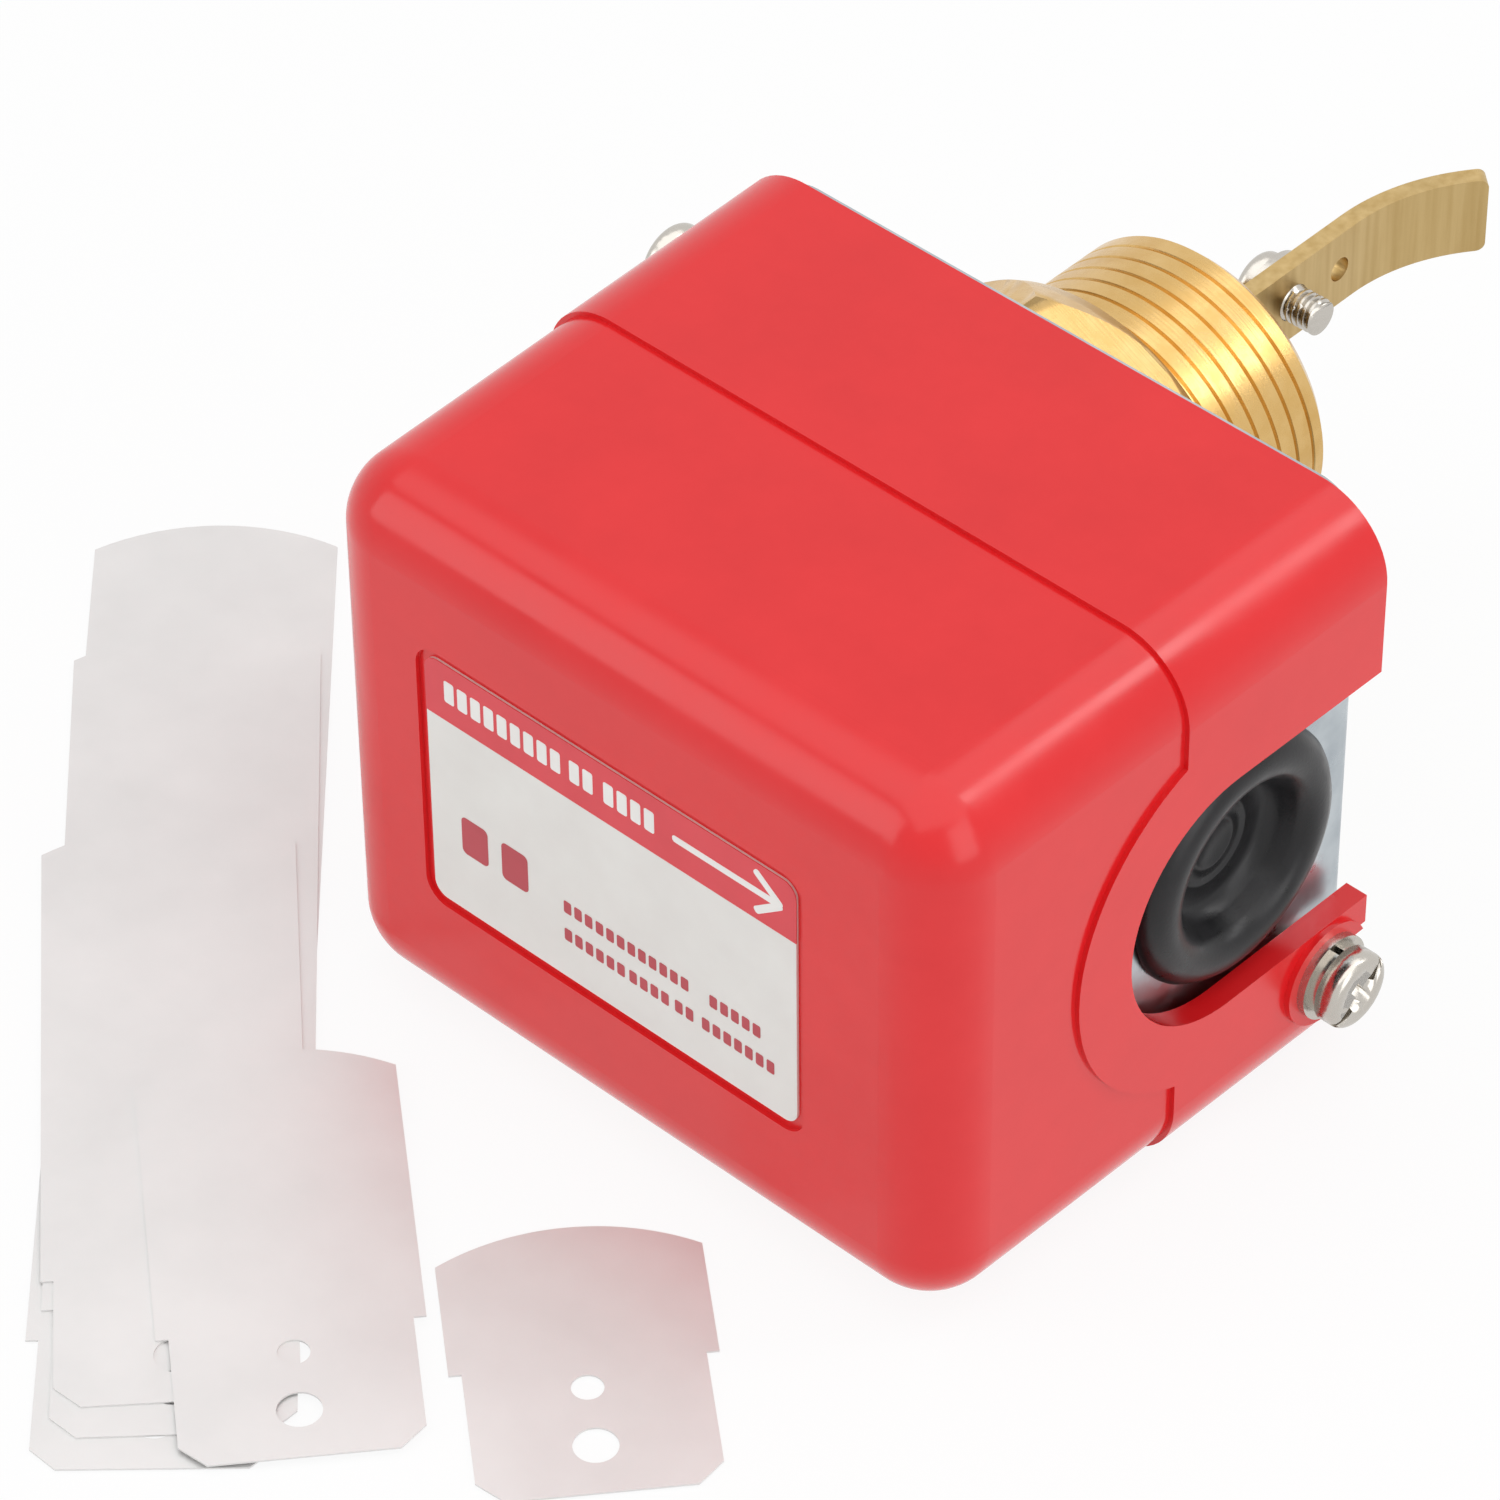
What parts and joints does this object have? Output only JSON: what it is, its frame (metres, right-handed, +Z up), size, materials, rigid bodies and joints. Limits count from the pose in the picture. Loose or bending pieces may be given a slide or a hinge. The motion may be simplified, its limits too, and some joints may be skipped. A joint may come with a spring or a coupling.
{
  "type": "paddle flow switch",
  "caption": "Paddle flow switch: red moulded cover on a zinc chassis, male brass pipe fitting, spring-loaded lever with a brass paddle arm, snap switch and loose steel paddles.",
  "frame": {"origin": "on the pipe thread's axis, halfway along the thread", "axes": "+Y along the thread's axis out of its mouth, +X the direction of flow in the pipe, +Z up with the switch lying on its cover's long side"},
  "size_m": [0.1454, 0.1981, 0.0648],
  "materials": {
    "red_shell": "glossy moulded",
    "label_film": "satin printed film",
    "zinc_sheet": "bright zinc plate",
    "brass": "machined",
    "nickel_steel": "nickel plated",
    "stainless": "satin rolled",
    "black_rubber": "matt moulded",
    "switch_black": "fine matt",
    "plunger_red": "moulded",
    "spring_steel": "drawn wire"
  },
  "bodies": {
    "base": {"chassis": "zinc_sheet", "cable_grommet": "black_rubber", "thread_body": "brass", "body_nut": "brass", "pivot_bush": "brass", "pivot_pin": "stainless", "cover_nut_right": "zinc_sheet", "cover_nut_left": "zinc_sheet", "switch_case": "switch_black", "switch_bracket": "zinc_sheet", "switch_screws": "nickel_steel", "switch_terminals": "brass", "terminal_screws": "nickel_steel", "foot_screw": "nickel_steel", "earth_screw": "brass", "range_spring": "spring_steel", "range_nut": "zinc_sheet"},
    "cover": {"cover": "red_shell", "label": "label_film"},
    "right_screw": {"cover_screw_right": "nickel_steel", "flat_washer_right": "nickel_steel", "spring_washer_right": "nickel_steel"},
    "left_screw": {"cover_screw_left": "nickel_steel", "flat_washer_left": "nickel_steel", "spring_washer_left": "nickel_steel"},
    "lever": {"lever_bar": "zinc_sheet", "lever_ear": "zinc_sheet", "paddle_arm": "brass", "arm_rivets": "brass", "bellows": "brass"},
    "clamp_screw": {"paddle_screw": "nickel_steel", "paddle_screw_washer": "nickel_steel"},
    "plunger": {"switch_plunger": "plunger_red"},
    "range_screw": {"range_screw": "nickel_steel"},
    "loose_paddle_1": {"paddle_1": "stainless"},
    "loose_paddle_2": {"paddle_2": "stainless"},
    "loose_paddle_3": {"paddle_3": "stainless"},
    "loose_paddle_4": {"paddle_4": "stainless"},
    "loose_paddle_5": {"paddle_5": "stainless"}
  },
  "joints": [
    {"name": "cover_slide", "type": "slide", "parent": "base", "child": "cover", "axis": [0, -0.9997, 0.0227], "range_m": [0, 0.065]},
    {"name": "right_screw_turn", "type": "hinge", "parent": "base", "child": "right_screw", "pos_m": [0.0525, -0.03105, -0.0202], "axis": [1, 0, 0], "continuous": true},
    {"name": "left_screw_turn", "type": "hinge", "parent": "base", "child": "left_screw", "pos_m": [-0.0325, -0.03105, 0.0202], "axis": [-1, 0, 0], "continuous": true},
    {"name": "lever_swing", "type": "hinge", "parent": "base", "child": "lever", "pos_m": [0, -0.017, 0], "axis": [0, 0, -1], "range_deg": [0, 3], "stiffness_Nm_per_rad": 0.15, "springref_deg": -5.73, "deforming": ["range_spring"]},
    {"name": "plunger_press", "type": "slide", "parent": "base", "child": "plunger", "axis": [-1, 0, 0], "range_m": [0, 0.0018]},
    {"name": "range_screw_turn", "type": "hinge", "parent": "base", "child": "range_screw", "pos_m": [-0.018, -0.04, 0], "axis": [0, 1, 0], "continuous": true},
    {"name": "clamp_screw_turn", "type": "hinge", "parent": "lever", "child": "clamp_screw", "pos_m": [0, 0.0242, 0], "axis": [1, 0, 0], "continuous": true},
    {"name": "paddle_1_slide", "type": "slide", "parent": "base", "child": "loose_paddle_1", "axis": [0.6884, -0.7254, 0], "range_m": [0, 0.025]},
    {"name": "paddle_2_slide", "type": "slide", "parent": "loose_paddle_1", "child": "loose_paddle_2", "axis": [0.7071, -0.7071, 0], "range_m": [0, 0.025]},
    {"name": "paddle_3_slide", "type": "slide", "parent": "loose_paddle_2", "child": "loose_paddle_3", "axis": [0.7314, -0.682, 0], "range_m": [0, 0.025]},
    {"name": "paddle_4_slide", "type": "slide", "parent": "loose_paddle_3", "child": "loose_paddle_4", "axis": [0.766, -0.6428, 0], "range_m": [0, 0.025]},
    {"name": "paddle_5_slide", "type": "slide", "parent": "base", "child": "loose_paddle_5", "axis": [0.766, -0.6428, 0], "range_m": [0, 0.025]}
  ],
  "couplings": [
    {"joint": "plunger_press", "follows": "lever_swing", "m_per_rad": 0.031}
  ]
}
